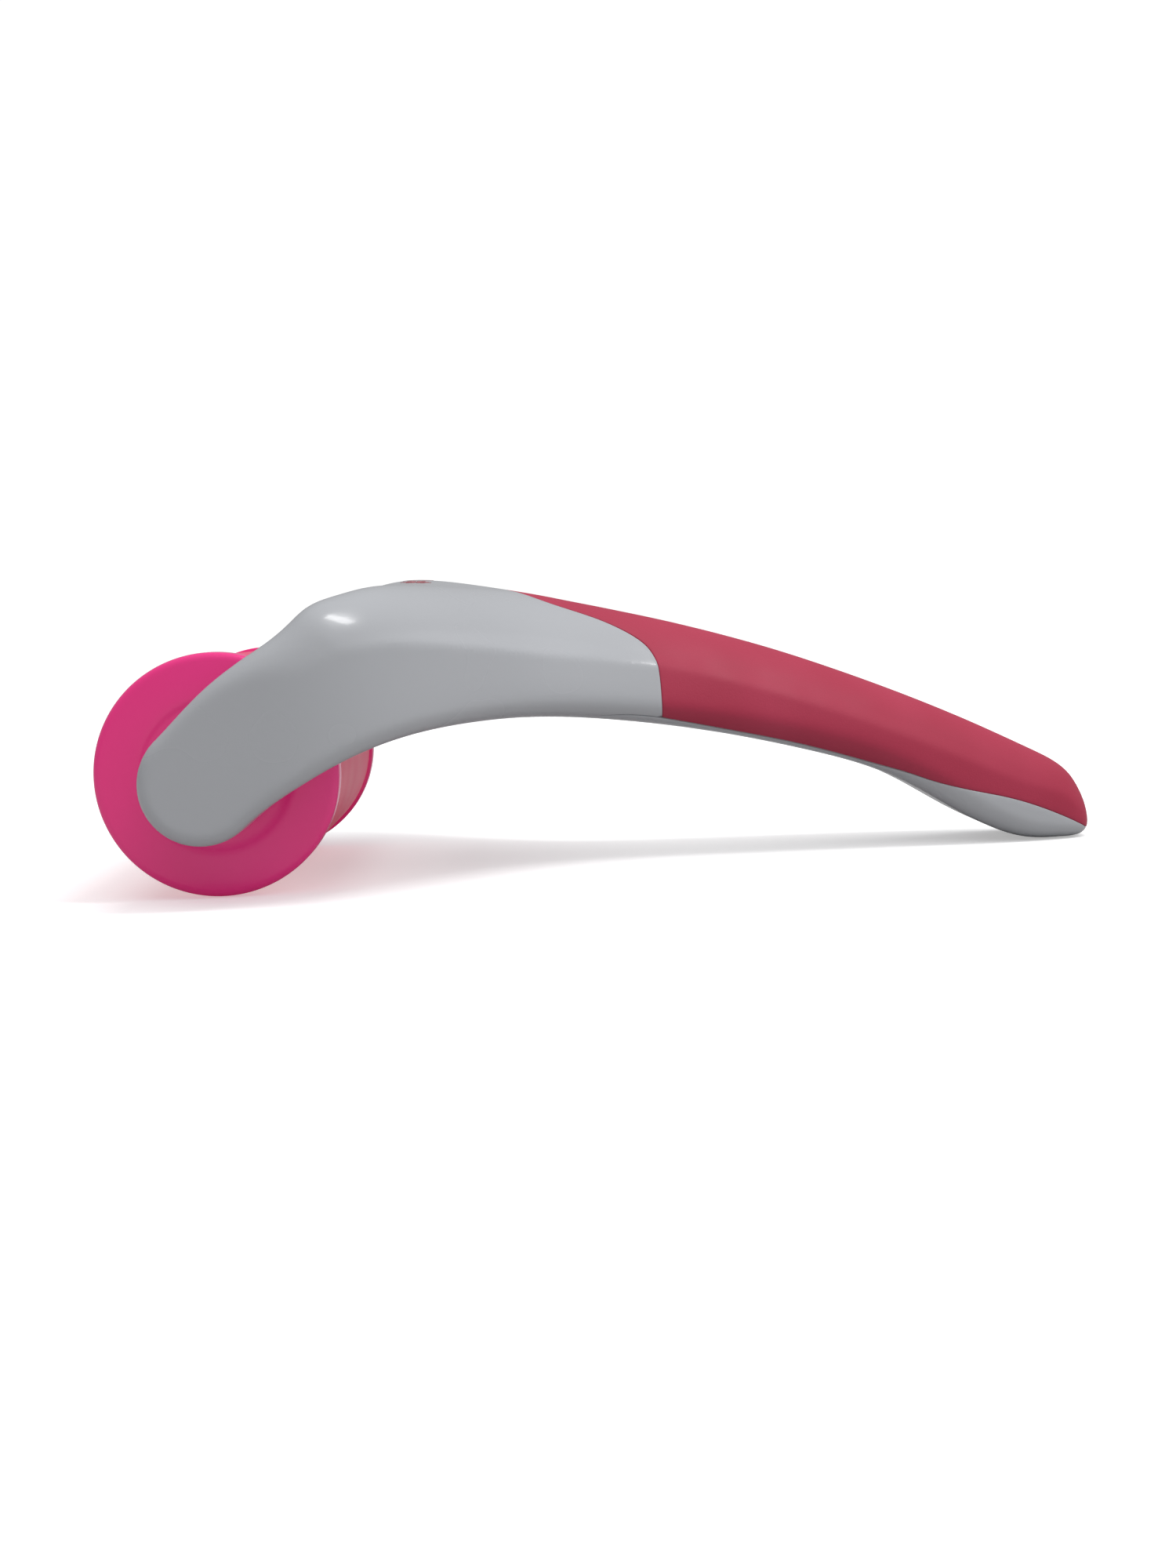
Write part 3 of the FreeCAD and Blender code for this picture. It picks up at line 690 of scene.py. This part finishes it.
def screw_cup(behind, across, seat):
    """The wall and floor of one screw's well, its mouth just inside the belly."""
    hole, wall, floor, mouth = 0.9, 0.6, 0.05, 0.55
    rim, back = SCREW_WELL + wall, seat + 0.8
    cup, faces = lathe([(hole, seat + floor), (SCREW_WELL, seat + floor), (SCREW_WELL, 0),
                        (rim, 0), (rim, back), (hole, back)], 48)
    cup = cup + np.array([behind, across, 0])
    lowest = np.interp(cup[:, 0], belly[::-1, 0], belly[::-1, 1]) + mouth
    cup[:, 2] = np.maximum(cup[:, 2], lowest)
    return cup, faces


grip_points, grip_faces = moulding(grip_area, GRIP_LIP, SHELL_DEPTH)
make_piece("grip_skin", in_frame(grip_points), grip_faces, GRIP, "frame", ["grip_cover"])
yoke_points, yoke_faces = moulding(yoke_area, LIP, SHELL_DEPTH)
core_points, core_faces = skin_of(inner_core, (8, -56.3, -1.1), (165, 56.3, 56), CORE_CELL)
core_faces = core_faces + len(yoke_points)
yoke_points = np.concatenate([yoke_points, core_points])
yoke_faces = yoke_faces + [tuple(f) for f in core_faces]
make_piece("yoke_skin", in_frame(yoke_points), yoke_faces, WHITE, "frame", ["yoke_shell"])
lid_points, lid_faces = moulding(lid_area, LIP, LID_DEPTH)
for screw in SHELL_SCREWS:
    cup, cup_faces = screw_cup(*screw)
    lid_faces = lid_faces + [tuple(i + len(lid_points) for i in f) for f in cup_faces]
    lid_points = np.concatenate([lid_points, cup])
make_piece("under_skin", in_frame(lid_points), lid_faces, WHITE, "frame", ["under_shell"])

# Roller. A cap's profile is (radius, depth from its outer face, rounding).
CAP = [(6.0, 0.0, 0.3), (8.6, 0.0, 0.8), (9.8, 0.3, 0.8), (12.6, 0.3, 0.8), (13.8, 0.0, 0.8),
       (21.49, 0.0, 1.5), (21.49, 4.5, 0.3), (19.0, 4.5, 0), (19.0, 11.5, 0.2), (16.6, 11.5, 0.2),
       (16.6, 3.5, 0.3), (8.5, 3.5, 0.3), (8.5, 10.6, 0.2), (0.4, 10.6, 0), (0.4, 9.0, 0),
       (6.0, 9.0, 0)]
HALF_WIDTH = 39.0
RIM_EDGE, TUBE_INNER, TUBE_OUTER = 4.5, 19.05, 20.8


def on_axle(points, side, distance):
    """Turned points stood on the axle, their Z axis pointing at the middle."""
    points = np.asarray(points)
    turned = np.stack([points[:, 0], side * (distance - points[:, 2]), side * points[:, 1]], 1)
    return turned * MM + np.array([AXLE_X, 0, AXLE_Z])


for side, word in ((-1, "left"), (1, "right")):
    points, faces = lathe(rounded_profile(CAP, 6))
    make_piece("cap_" + word, on_axle(points, side, HALF_WIDTH), faces, TINTED, "roller",
               ["end_cap_" + word])
TUBE_LENGTH = 2 * (HALF_WIDTH - RIM_EDGE)
tube = [(TUBE_INNER, 0, 0), (TUBE_OUTER, 0, 0.25), (TUBE_OUTER, TUBE_LENGTH, 0.25),
        (TUBE_INNER, TUBE_LENGTH, 0)]
points, faces = lathe(rounded_profile(tube))
make_piece("barrel_tube", on_axle(points, -1, HALF_WIDTH - RIM_EDGE), faces, BARREL, "roller",
           ["roller_barrel"])


CROWN_TOP = 54.0


def snow_marks():
    """A row of small generic six-armed snow marks printed across the crown."""
    arm, branch, branch_start = 2.9, 1.0, 1.6
    half_stroke, proud, sunk = 0.3, 0.06, 0.12
    strokes = []
    for across in (-9.0, 0.0, 9.0):
        middle = np.array([34.8, across])
        for k in range(6):
            a = math.radians(60 * k)
            tip = np.array([math.cos(a), math.sin(a)])
            strokes.append((middle + 0.15 * tip, middle + tip * arm))
            for turn in (-55, 55):
                b = a + math.radians(turn)
                start = middle + tip * branch_start
                strokes.append((start, start + branch * np.array([math.cos(b), math.sin(b)])))
    points, faces = [], []
    for first, last in strokes:
        direction = (last - first) / np.hypot(*(last - first))
        wide = np.array([-direction[1], direction[0]]) * half_stroke
        n = max(2, int(np.hypot(*(last - first)) / 0.4))
        ring = [first + (last - first) * i / n + wide for i in range(n + 1)]
        ring += [last - (last - first) * i / n - wide for i in range(n + 1)]
        start = len(points)
        points += [(p[0], p[1], CROWN_TOP) for p in ring]
        for i in range(n):
            faces.append((start + i, start + i + 1, start + 2 * n - i, start + 2 * n + 1 - i))
    points = onto(body, np.array(points), 4)
    normal = gradient(body, points)
    normal /= np.linalg.norm(normal, axis=1)[:, None]
    count = len(points)
    used = {(f[i], f[(i + 1) % 4]) for f in faces for i in range(4)}
    border = sorted((a, b) for a, b in used if (b, a) not in used)
    solid = [f[::-1] for f in faces] + [tuple(i + count for i in f) for f in faces]
    solid += [(a, b, b + count, a + count) for a, b in border]
    return np.concatenate([points + normal * proud, points - normal * sunk]), solid


mark_points, mark_faces = snow_marks()
make_piece("snow_marks", in_frame(mark_points), mark_faces, PRINT, "frame")

LOOKS = {"pivot_peg_left": ACETAL, "pivot_peg_right": ACETAL, "spacer_washer_left": ACETAL,
         "spacer_washer_right": ACETAL, "hub_bush_left": ACETAL, "hub_bush_right": ACETAL,
         "peg_screws": STEEL, "shell_screws": STEEL, "seal_ring_left": SEAL,
         "seal_ring_right": SEAL, "cooling_gel": GEL, "fill_plug": TINTED}
for node, material in LOOKS.items():
    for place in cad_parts[node].material_slots:
        place.material = material

# ------------------------------------------------------------------ stage, lights and camera


def bright_to_camera(tree, seen, lighting, output):
    """One shader for what the camera sees and a dimmer one for what lights the object."""
    path = tree.nodes.new("ShaderNodeLightPath")
    mix = tree.nodes.new("ShaderNodeMixShader")
    tree.links.new(path.outputs["Is Camera Ray"], mix.inputs[0])
    tree.links.new(lighting, mix.inputs[1])
    tree.links.new(seen, mix.inputs[2])
    tree.links.new(mix.outputs[0], output)


def pale_floor():
    """A wide pale floor."""
    material, tree, shader = new_material("floor_paint")
    tone = ramp(tree, noise(tree, 3, 3), [(0.3, (0.87, 0.87, 0.87)), (0.7, (0.9, 0.9, 0.9))])
    tree.links.new(tone, shader.inputs["Base Color"])
    shader.inputs["Roughness"].default_value = 0.7
    shader.inputs["Emission Color"].default_value = (1, 1, 1, 1)
    shader.inputs["Emission Strength"].default_value = 0.4
    dim = tree.nodes.new("ShaderNodeBsdfDiffuse")
    dim.inputs["Color"].default_value = (0.5, 0.5, 0.5, 1)
    output = tree.nodes["Material Output"].inputs["Surface"]
    bright_to_camera(tree, shader.outputs[0], dim.outputs[0], output)
    mesh = bpy.data.meshes.new("floor")
    reach = 12.0
    corners = [(-reach, -reach, 0), (reach, -reach, 0), (reach, reach, 0), (-reach, reach, 0)]
    mesh.from_pydata(corners, [], [(0, 1, 2, 3)])
    mesh.materials.append(material)
    floor = bpy.data.objects.new("floor", mesh)
    bpy.context.scene.collection.objects.link(floor)
    floor.location.z = -0.0002


def soft_light(name, place, target, size, power):
    """A long soft box that points at a target."""
    light = bpy.data.lights.new(name, "AREA")
    light.shape = "RECTANGLE"
    light.size, light.size_y = size
    light.energy = power
    lamp = bpy.data.objects.new(name, light)
    lamp.location = place
    aim = Vector(target) - Vector(place)
    lamp.rotation_euler = aim.to_track_quat("-Z", "Y").to_euler()
    bpy.context.scene.collection.objects.link(lamp)


def soft_sun(place, strength, spread):
    """Broad even light from one direction, which gloss doesn't mirror."""
    light = bpy.data.lights.new("broad_light", "SUN")
    light.energy = strength
    light.angle = math.radians(spread)
    lamp = bpy.data.objects.new("broad_light", light)
    lamp.location = place
    lamp.rotation_euler = (-Vector(place)).to_track_quat("-Z", "Y").to_euler()
    lamp.visible_glossy = False
    bpy.context.scene.collection.objects.link(lamp)


def surroundings():
    """Even pale light from all round, behind a backdrop that shows brighter than it lights."""
    world = bpy.data.worlds.new("studio")
    world.use_nodes = True
    tree = world.node_tree
    backdrop = tree.nodes["Background"]
    backdrop.inputs["Color"].default_value = (1, 1, 1, 1)
    backdrop.inputs["Strength"].default_value = 1.05
    fill = tree.nodes.new("ShaderNodeBackground")
    fill.inputs["Color"].default_value = (0.97, 0.98, 1, 1)
    fill.inputs["Strength"].default_value = 0.33
    output = tree.nodes["World Output"].inputs["Surface"]
    bright_to_camera(tree, backdrop.outputs[0], fill.outputs[0], output)
    bpy.context.scene.world = world


pale_floor()
surroundings()
soft_sun((0.3, -0.12, 0.95), 1.75, 100)
soft_light("key_box", (0.165, -0.138, 0.6), (-0.047, -0.052, 0.048), (0.09, 0.28), 1.15)
bpy.context.scene.view_settings.view_transform = "Standard"

# The camera stands a third of a metre from the near arm, above the object's middle.
CAMERA_PLACE = (-0.01549, -0.37533, 0.0458)
CAMERA_RIGHT = Vector((0.99863, -0.0313, -0.04186))
CAMERA_UP = Vector((0.04435, 0.08374, 0.9955))
camera_data = bpy.data.cameras.new("camera")
camera_data.lens = 44.1
camera_data.sensor_width = 36.0
camera_data.clip_start = 0.01
camera = bpy.data.objects.new("camera", camera_data)
facing = Matrix((CAMERA_RIGHT, CAMERA_UP, CAMERA_RIGHT.cross(CAMERA_UP))).transposed()
camera.matrix_world = Matrix.Translation(CAMERA_PLACE) @ facing.to_4x4()
bpy.context.scene.collection.objects.link(camera)
bpy.context.scene.camera = camera
